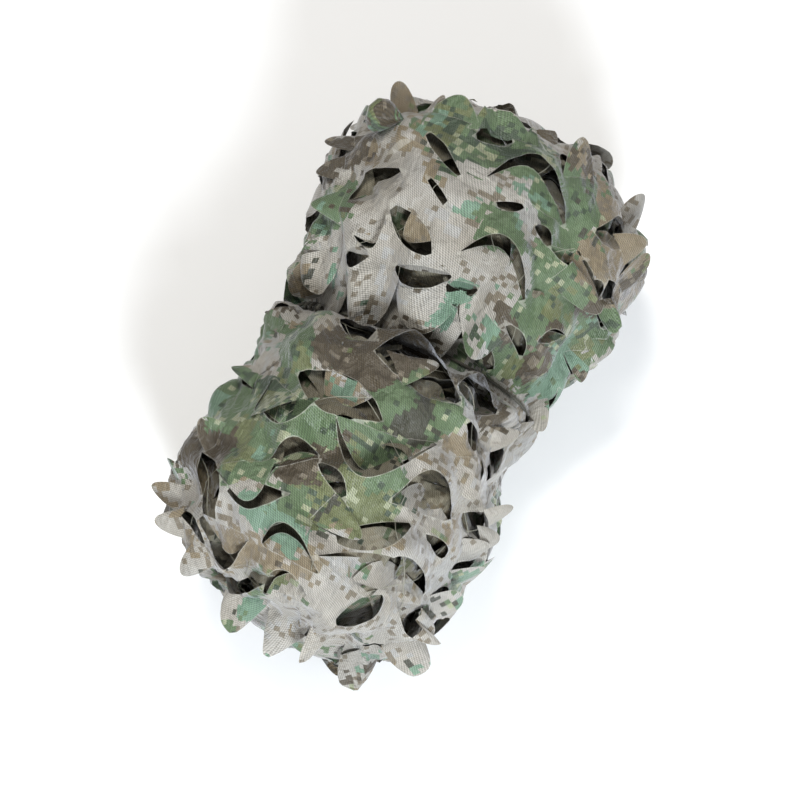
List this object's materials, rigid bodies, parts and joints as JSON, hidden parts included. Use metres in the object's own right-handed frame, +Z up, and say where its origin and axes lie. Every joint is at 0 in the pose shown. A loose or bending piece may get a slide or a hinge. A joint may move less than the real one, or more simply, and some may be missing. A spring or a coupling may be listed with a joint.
{
  "type": "camouflage net",
  "caption": "Camouflage net of leaf-cut patterned cloth on thin netting, rolled up and drawn in at its middle by a tied cord.",
  "frame": {"origin": "on the ground under the middle of the box of the whole bundle", "axes": "+X along the bundle, towards its shorter and fuller lobe; +Z up; +Y to the side where the cloth's long edges and the knot are"},
  "size_m": [0.6023, 0.3455, 0.2903],
  "materials": {
    "camouflage_cloth": "thin woven polyester with a printed pattern of small squares, matt with a silvery sheen where it bends away",
    "dark_cord": "matt laid cord, dark olive to black"
  },
  "bodies": {
    "root": {"net_bundle": "camouflage_cloth", "waist_tie": "dark_cord"}
  },
  "joints": []
}
